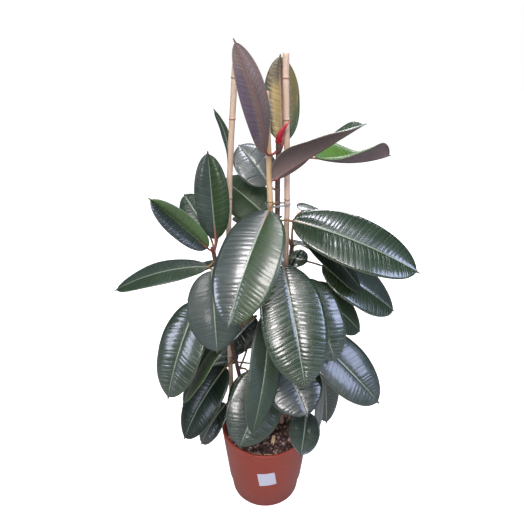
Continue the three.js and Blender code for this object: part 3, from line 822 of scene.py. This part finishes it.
def blade(bm, leaf):
    """A quilted blade, given its thickness and the keel under its midrib."""
    made = lay_grid(bm, leaf)
    under = {face for vert in made for face in vert.link_faces}
    quilt(bm, leaf, made)
    lifted = bmesh.ops.extrude_face_region(bm, geom=list(under))["geom"]
    upper = [item for item in lifted if isinstance(item, bmesh.types.BMVert)]
    top = {item for item in lifted if isinstance(item, bmesh.types.BMFace)}
    bm.normal_update()
    for vert in upper:
        vert.co += vert.normal * BLADE_THICK
    ribs = layers_of(bm)[0]
    for vert in made:
        side, _, u = vert[ribs]
        vert.co += vert.normal * KEEL * exp(-(side / KEEL_WIDTH) ** 2) * (1 - 0.75 * u)
    for face in {face for vert in upper for face in vert.link_faces} | under:
        face.material_index = 0 if face in top else 1 if face in under else 2


def petiole(bm, leaf):
    """The leaf's stalk, from inside its stem to the underside of the midrib."""
    ribs, look, _ = layers_of(bm)
    _, path = STEMS[leaf.name.split("_")[0]]
    start = centre_at(path, leaf.height)
    lead = (leaf.point(0.02, 0) - leaf.base).normalized()
    bend = leaf.base - lead * 0.45 * (leaf.base - start).length
    end = leaf.base + lead * PETIOLE_SUNK - leaf.up * 0.6
    rings = []
    for step in range(PETIOLE_STEPS + 1):
        share = step / PETIOLE_STEPS
        swell = 1 + 0.35 * exp(-(share * 9) ** 2) + 0.12 * exp(-((share - 0.8) * 9) ** 2)
        taper = 1 - 0.62 * max(0, (share - 0.86) / 0.14)
        rings.append((PETIOLE_RADIUS * swell * taper, share))
    made = turned(bm, closed(rings), PETIOLE_SIDES)
    for vert in made:
        vert[ribs] = (0, 0, vert.co.z)
        vert[look] = (NO_EDGE, leaf.halves[0][0], leaf.red)
        if vert.co.y > 0 and vert.co.z > 0.3:
            vert.co.y *= 0.72
    reference = Vector((0.31, 0.17, 0.93)) if abs(leaf.way.z) < 0.9 else Vector((0.1, 0.99, 0.1))
    bend_along(made, lambda share: quadratic(start, bend, end, share), reference)
    for face in {face for vert in made for face in vert.link_faces}:
        face.material_index = 3


def make_leaves():
    older = [leaf_upper("leaf_upper_glossy_green", 0.8), leaf_under(), leaf_margin(), petiole_skin()]
    satin = [leaf_upper("leaf_upper_satin_green", 0.3)] + older[1:]
    youngest = [young_upper(), young_under(), older[2], older[3]]
    for row in LEAVES:
        leaf = Leaf(row)
        bm = new_mesh()
        blade(bm, leaf)
        petiole(bm, leaf)
        young = leaf.name == YOUNGEST_LEAF
        finishes = youngest if young else satin if min(leaf.halves[2]) > SATIN_FROM else older
        finish_piece("fine_" + leaf.name, bm, finishes, [leaf.name])


# ---- stems and canes

def from_node(height, nodes):
    """How far a height is past the nearest node ring."""
    return min((height - node for node in nodes), key=abs)


def shaft(bm, made_of, nodes, steps, ring_gap, swelling):
    """A round shaft bent along its centre line; swelling gives the radius added near a node."""
    ribs = layers_of(bm)[0]
    radius, path = made_of
    bottom, top = path[0][2], path[-1][2]
    heights = []
    height = float(bottom)
    while height < top - 1:
        heights.append(height)
        height += ring_gap if abs(from_node(height, nodes)) > NODE_LENGTH else 0.7
    profile = [(0, bottom)]
    profile += [(radius + swelling(height), height) for height in heights]
    profile += [(radius, top - 0.8), (radius - 0.8, top), (0, top)]
    made = turned(bm, profile, steps)
    for vert in made:
        vert[ribs] = (0, exp(-(from_node(vert.co.z, nodes) / 1.6) ** 2), 0)
        centre = centre_at(path, vert.co.z)
        lean = noise.noise(Vector((vert.co.z * 0.02, radius, 7))) * 0.5
        vert.co.x += centre.x + lean
        vert.co.y += centre.y


def bamboo_swell(height):
    near = from_node(height, CANE_NODES)
    ridge = 0.75 * exp(-(near / 1.5) ** 2)
    groove = 0.35 * exp(-(near + 2.6) ** 2)
    return ridge - groove + 0.2 * exp(-(near / 9) ** 2)


def bark_swell(height):
    near = from_node(height, STEM_NODES)
    scar = 0.6 * exp(-(near / 1.8) ** 2) + 0.35 * exp(-((near - 4) / 1.2) ** 2)
    return scar + 0.15 * sin(height * 0.9)


def make_stems():
    bark = stem_bark()
    for name, stem in STEMS.items():
        bm = new_mesh()
        shaft(bm, stem, STEM_NODES, 24, 4, bark_swell)
        finish_piece("woody_" + name + "_stem", bm, [bark], [name + "_stem"])


def make_canes():
    finishes = {
        "cane_left": bamboo("bamboo_left_pinkish", (186, 166, 140), (150, 124, 102)),
        "cane_middle": bamboo("bamboo_middle_tan", (184, 158, 114), (152, 122, 86)),
        "cane_right": bamboo("bamboo_right_pale", (186, 162, 142), (152, 124, 106)),
    }
    for name, cane in CANES.items():
        bm = new_mesh()
        shaft(bm, cane, CANE_NODES, 28, 8, bamboo_swell)
        finish_piece("bamboo_" + name, bm, [finishes[name]], [name])


def hull(points):
    """The smallest outline round all points, counter-clockwise."""
    points = sorted(points)

    def chain(run):
        kept = []
        for point in run:
            while len(kept) > 1:
                (ax, ay), (bx, by) = kept[-2:]
                if (bx - ax) * (point[1] - ay) - (by - ay) * (point[0] - ax) > 0:
                    break
                kept.pop()
            kept.append(point)
        return kept[:-1]

    return chain(points) + chain(points[::-1])


def make_cane_tie():
    """Three turns of thin wire round the middle cane, the tall stem and the right cane."""
    points = []
    for radius, path in (CANES["cane_middle"], STEMS["tall"], CANES["cane_right"]):
        centre = centre_at(path, TIE_HEIGHT)
        reach = radius + TIE_CLEARANCE
        for index in range(24):
            azimuth = tau * index / 24
            points.append((centre.x + reach * cos(azimuth), centre.y + reach * sin(azimuth)))
    loop = hull(points)
    route = []
    for index in range(TIE_TURNS * len(loop) + 1):
        x, y = loop[index % len(loop)]
        rise = (index / len(loop) - TIE_TURNS / 2) * TIE_PITCH
        route.append(Vector((x, y, TIE_HEIGHT + rise)))
    bm = new_mesh()
    last = len(route) - 1

    def along(share):
        place = min(share * last, last - 1e-6)
        index = int(place)
        first, second = route[index], route[index + 1]
        return first.lerp(second, place - index), (second - first).normalized()

    made = turned(bm, closed((WIRE_RADIUS, (step + 0.5) / last) for step in range(last)), 8)
    bend_along(made, along, Vector((0, 0, 1)))
    start = route[-1] + Vector((0, -0.8, 0))
    for index, turn in enumerate((0.4, -0.5)):
        middle = start + Vector((turn * 6, -4, -1))
        end = start + Vector((4 - 6 * index, -6, 5 + 2 * index))
        tail = turned(bm, closed((TAIL_RADIUS, step / 8) for step in range(9)), 8)
        bend_along(tail, lambda share: quadratic(start, middle, end, share), Vector((1, 0, 0)))
    finish_piece("wire_cane_tie", bm, [wire_sheath()], ["cane_tie"])


def make_tall_sheath():
    """The pointed red sheath over the next leaf, with a fold down its side."""
    first, bend, last = (Vector(point) for point in SHEATH_PATH)
    bm = new_mesh()
    ribs = layers_of(bm)[0]
    rings = []
    for step in range(SHEATH_STEPS + 1):
        share = step / SHEATH_STEPS
        swell = sin(pi * min(1, 0.32 + share * 0.68)) ** 0.8
        rings.append((SHEATH_RADIUS * (0.06 + swell) * (1 - 0.5 * share), share))
    made = turned(bm, closed(rings), 28)
    for vert in made:
        azimuth = atan2(vert.co.y, vert.co.x)
        pleat = 0.12 * exp(-(azimuth + 1.9) ** 2 / 0.05) - 0.05 * cos(5 * azimuth)
        vert[ribs] = (0, 0, vert.co.z)
        vert.co.x *= 1 - pleat
        vert.co.y *= 1 - pleat
    bend_along(made, lambda share: quadratic(first, bend, last, share), Vector((0, 1, 0.2)))
    finish_piece("pointed_tall_sheath", bm, [red_sheath()], ["tall_sheath"])


# ---- pot and soil

def rounded(profile):
    """The profile, with every corner but its ends rounded."""
    smooth = [profile[0]]
    for corner in zip(profile, profile[1:], profile[2:]):
        before, here, after = (Vector(point) for point in corner)
        reach = min(CORNER_CUT, (before - here).length * 0.45, (after - here).length * 0.45)
        first = here + (before - here).normalized() * reach
        last = here + (after - here).normalized() * reach
        for step in range(CORNER_STEPS + 1):
            smooth.append(tuple(quadratic(first, here, last, step / CORNER_STEPS)[0]))
    return smooth + [profile[-1]]


def make_pot():
    inner = RIM_RADIUS - RIM_STEP - WALL
    lip = POT_HEIGHT - LIP_DROP
    profile = [(0, 0), (PAD_RADIUS, 0), (PAD_RADIUS + 2, RECESS)]
    profile += [(BASE_RADIUS - 8, RECESS), (BASE_RADIUS - 6, 0), (BASE_RADIUS, 0)]
    profile += [(FOOT_RADIUS, FOOT_TOP), (STEP_RADIUS, FOOT_TOP + 2)]
    profile += [(LIP_RADIUS, POT_HEIGHT - LIP_SEAT), (LIP_RADIUS + 1, lip), (RIM_RADIUS, lip + 1)]
    profile += [(RIM_RADIUS, POT_HEIGHT - 1), (RIM_RADIUS - 1, POT_HEIGHT)]
    profile += [(inner + 1, POT_HEIGHT), (inner, POT_HEIGHT - 2), (STEP_RADIUS - WALL, FOOT_TOP + 3)]
    profile += [(FOOT_RADIUS - WALL, FOOT_TOP), (BASE_RADIUS - WALL, FLOOR), (0, FLOOR)]
    bm = new_mesh()
    turned(bm, rounded(profile), POT_STEPS)
    pot = finish_piece("moulded_pot", bm, [terracotta_plastic()], ["pot"])
    cutter = new_mesh()
    for index in range(DRAIN_COUNT):
        azimuth = tau * index / DRAIN_COUNT
        place = Matrix.Translation((DRAIN_RING * cos(azimuth), DRAIN_RING * sin(azimuth), 3))
        hole = {"segments": 24, "radius1": DRAIN_RADIUS, "radius2": DRAIN_RADIUS, "depth": DRILL_DEPTH}
        bmesh.ops.create_cone(cutter, cap_ends=True, matrix=place, **hole)
    drill = finish_piece("drain_drill", cutter, [])
    cut = pot.modifiers.new("drain holes", "BOOLEAN")
    cut.operation = "DIFFERENCE"
    cut.solver = "EXACT"
    cut.object = drill
    shaped = pot.evaluated_get(bpy.context.evaluated_depsgraph_get())
    drilled = bpy.data.meshes.new_from_object(shaped)
    pot.modifiers.clear()
    pot.data = drilled
    bpy.data.objects.remove(drill)
    crease(pot, 40)


def finish_label():
    """The label keeps its plain solid from the CAD, and gets its paper."""
    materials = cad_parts["pot_label"].data.materials
    materials.clear()
    materials.append(label_paper().material)


def crease(piece, degrees):
    """Keeps the shading sharp where faces meet at more than this angle."""
    bm = bmesh.new()
    bm.from_mesh(piece.data)
    for edge in bm.edges:
        edge.smooth = not edge.is_manifold or edge.calc_face_angle(0) < radians(degrees)
    bm.to_mesh(piece.data)
    bm.free()


def soil_height(x, y):
    coarse = sin(x * 0.13 + 1.1) * cos(y * 0.11 - 0.4)
    fine = sin(x * 0.37 - y * 0.21) * cos(y * 0.33 + 0.7)
    return SOIL_RELIEF * (0.6 * coarse + 0.4 * fine)


def make_soil():
    slope = (RIM_RADIUS - RIM_STEP - STEP_RADIUS) / (POT_HEIGHT - FOOT_TOP - 5)
    waist = STEP_RADIUS - WALL - 0.6
    upper = waist + slope * (SOIL_TOP - FOOT_TOP - 5)
    bottom = FLOOR + 0.4
    profile = [(0, bottom), (BASE_RADIUS - WALL - 1, bottom), (FOOT_RADIUS - WALL - 1, FOOT_TOP)]
    profile += [(waist, FOOT_TOP + 4), (upper, SOIL_TOP - 2)]
    profile += [((upper - 1) * ring / SOIL_RINGS, SOIL_TOP) for ring in range(SOIL_RINGS, -1, -1)]
    bm = new_mesh()
    for vert in turned(bm, profile, SOIL_STEPS):
        if vert.co.z > SOIL_TOP - 1:
            place = Vector((vert.co.x, vert.co.y, 0))
            crumbs = noise.turbulence(place * 0.09, 4, True, noise_basis="VORONOI_F1")
            lumps = noise.noise(place * 0.045)
            vert.co.z += soil_height(place.x, place.y) + 3.2 * (crumbs - 0.9) + 1.5 * lumps
            vert.co.z = min(vert.co.z, SOIL_TOP + 8)
    finish_piece("loose_potting_soil", bm, [compost()], ["potting_soil"])
    scatter_crumbs(upper - 5)


def crumb(bm, place, size, chance):
    """One angular crumb or bark piece of a few dozen faces."""
    made = bmesh.ops.create_icosphere(bm, subdivisions=2, radius=size)["verts"]
    shares = [chance.uniform(low, high) for low, high in CRUMB_SHARES]
    for vert in made:
        vert.co *= 1 + 0.28 * noise.noise(vert.co * (1.6 / size) + place)
    axis = [chance.random() for _ in range(3)]
    turn = Quaternion(axis, chance.uniform(0, 6)).to_matrix().to_4x4()
    shape = Matrix.Translation(place) @ turn @ Matrix.Diagonal((*shares, 1))
    bmesh.ops.transform(bm, matrix=shape, verts=made)


def scatter_crumbs(reach):
    chance = random.Random(11)
    shafts = [centre_at(path, SOIL_TOP) for _, path in (*STEMS.values(), *CANES.values())]
    bm = new_mesh()
    count = 0
    while count < CRUMB_COUNT:
        radius = reach * sqrt(chance.random())
        azimuth = chance.uniform(0, tau)
        x, y = radius * cos(azimuth), radius * sin(azimuth)
        size = CRUMB_LEAST + CRUMB_SPREAD * chance.random() ** 1.7
        if min(hypot(x - centre.x, y - centre.y) for centre in shafts) < CRUMB_CLEARANCE + size:
            continue
        crumb(bm, Vector((x, y, SOIL_TOP + soil_height(x, y) + 0.25 * size)), size, chance)
        count += 1
    finish_piece("soil_crumbs", bm, [compost_crumb()], [])


def make_flake():
    """A tan bark flake on the soil, at the front."""
    bm = new_mesh()
    for vert in bmesh.ops.create_grid(bm, x_segments=10, y_segments=6, size=1)["verts"]:
        bulge = 1 - 0.3 * abs(vert.co.x)
        ragged = 1 + 0.15 * noise.noise(Vector((vert.co.x * 3, vert.co.y * 3, 4)))
        x, y = vert.co.x * FLAKE_LENGTH * ragged, vert.co.y * FLAKE_WIDTH * bulge * ragged
        vert.co = Vector((x, y, 0.8 * (vert.co.x ** 2 + vert.co.y ** 2)))
    lifted = bmesh.ops.extrude_face_region(bm, geom=bm.faces[:])["geom"]
    upper = [item for item in lifted if isinstance(item, bmesh.types.BMVert)]
    bmesh.ops.translate(bm, vec=(0, 0, FLAKE_THICK), verts=upper)
    turn = Matrix.Rotation(1.35, 4, "Z")
    lie = Matrix.Translation((18, -42, SOIL_TOP + 9)) @ Matrix.Rotation(1, 4, "X")
    bmesh.ops.transform(bm, matrix=lie @ turn, verts=bm.verts)
    finish_piece("bark_flake", bm, [bark_chip()], [])


def make_twig():
    """A pale twig on the soil, in front of the flake."""
    bm = new_mesh()
    start = Vector((-4, -82, SOIL_TOP + 3))
    middle = Vector((6, -78, SOIL_TOP + 6))
    end = Vector((17, -84, SOIL_TOP + 3))
    made = turned(bm, closed((0.9 + 0.25 * sin(step * 1.7), step / 16) for step in range(17)), 10)
    bend_along(made, lambda share: quadratic(start, middle, end, share), Vector((0, 0, 1)))
    finish_piece("pale_twig", bm, [bark_chip()], [])


# ---- studio

def make_studio():
    bm = new_mesh()
    bmesh.ops.create_grid(bm, x_segments=8, y_segments=8, size=FLOOR_REACH)
    floor = placed("studio_floor", mesh_of("studio_floor", bm, [studio_floor()]))


def softbox(name, place, aim, size, power, colour):
    """A soft lamp that looks at the plant's middle, at the height in aim."""
    lamp = bpy.data.lights.new(name, "AREA")
    lamp.shape = "RECTANGLE"
    lamp.size, lamp.size_y = size
    lamp.energy = power
    lamp.color = colour
    box = placed(name, lamp)
    box.location = place
    box.rotation_euler = (Vector((0, 0, aim)) - Vector(place)).to_track_quat("-Z", "Y").to_euler()


def make_world():
    """White behind everything the camera sees, a dim room round it and a dimmer, cool one in the gloss."""
    world = bpy.data.worlds.new("white_studio")
    world.use_nodes = True
    tree = world.node_tree
    shades = {}
    for name, (colour, strength) in SHADES.items():
        shades[name] = tree.nodes.new("ShaderNodeBackground")
        shades[name].inputs["Color"].default_value = colour
        shades[name].inputs["Strength"].default_value = strength
    seen = tree.nodes.new("ShaderNodeLightPath")
    last = shades["room"]
    for ray, name in (("Is Glossy Ray", "sheen"), ("Is Camera Ray", "backdrop")):
        either = tree.nodes.new("ShaderNodeMixShader")
        tree.links.new(seen.outputs[ray], either.inputs[0])
        tree.links.new(last.outputs[0], either.inputs[1])
        tree.links.new(shades[name].outputs[0], either.inputs[2])
        last = either
    tree.links.new(last.outputs[0], tree.nodes["World Output"].inputs[0])
    bpy.context.scene.world = world


def make_lamps():
    """Soft light from up front, with cooler windows at the sides."""
    sun = bpy.data.lights.new("diffused_sky_light", "SUN")
    sun.energy = 0.95
    sun.angle = radians(50)
    sky = placed("diffused_sky_light", sun)
    sky.rotation_euler = (radians(34), radians(-6), 0)
    softbox("front_softbox", (-0.5, -1.7, 2.5), 0.6, (1.2, 0.8), 58, (1, 0.92, 0.94))
    softbox("overhead_softbox", (0.15, 0.1, 2.5), 0.5, (0.9, 0.35), 25, (0.9, 0.88, 1))
    softbox("left_window", (-1.9, -0.7, 1.1), 0.6, (0.5, 0.9), 16, (0.76, 0.8, 1))
    softbox("right_window", (1.7, -1, 1.5), 0.5, (0.9, 1.1), 31, (0.6, 0.67, 1))
    softbox("low_front_window", (0.15, -2.3, 1.35), 0.45, (0.5, 0.5), 18, (1, 0.94, 0.96))
    softbox("back_window", (0.6, 2.2, 1.9), 0.5, (1.2, 1), 26, (0.95, 0.97, 1))


def make_camera():
    lens = bpy.data.cameras.new("photo_camera")
    lens.lens = CAMERA_LENS
    lens.sensor_width = 36
    camera = placed("photo_camera", lens)
    camera.location = CAMERA_PLACE
    camera.rotation_euler = (radians(CAMERA_TILT), 0, 0)
    bpy.context.scene.camera = camera
    bpy.context.scene.view_settings.view_transform = "Standard"


make_pot()
finish_label()
make_soil()
make_flake()
make_twig()
make_stems()
make_canes()
make_cane_tie()
make_tall_sheath()
make_leaves()
make_studio()
make_world()
make_lamps()
make_camera()
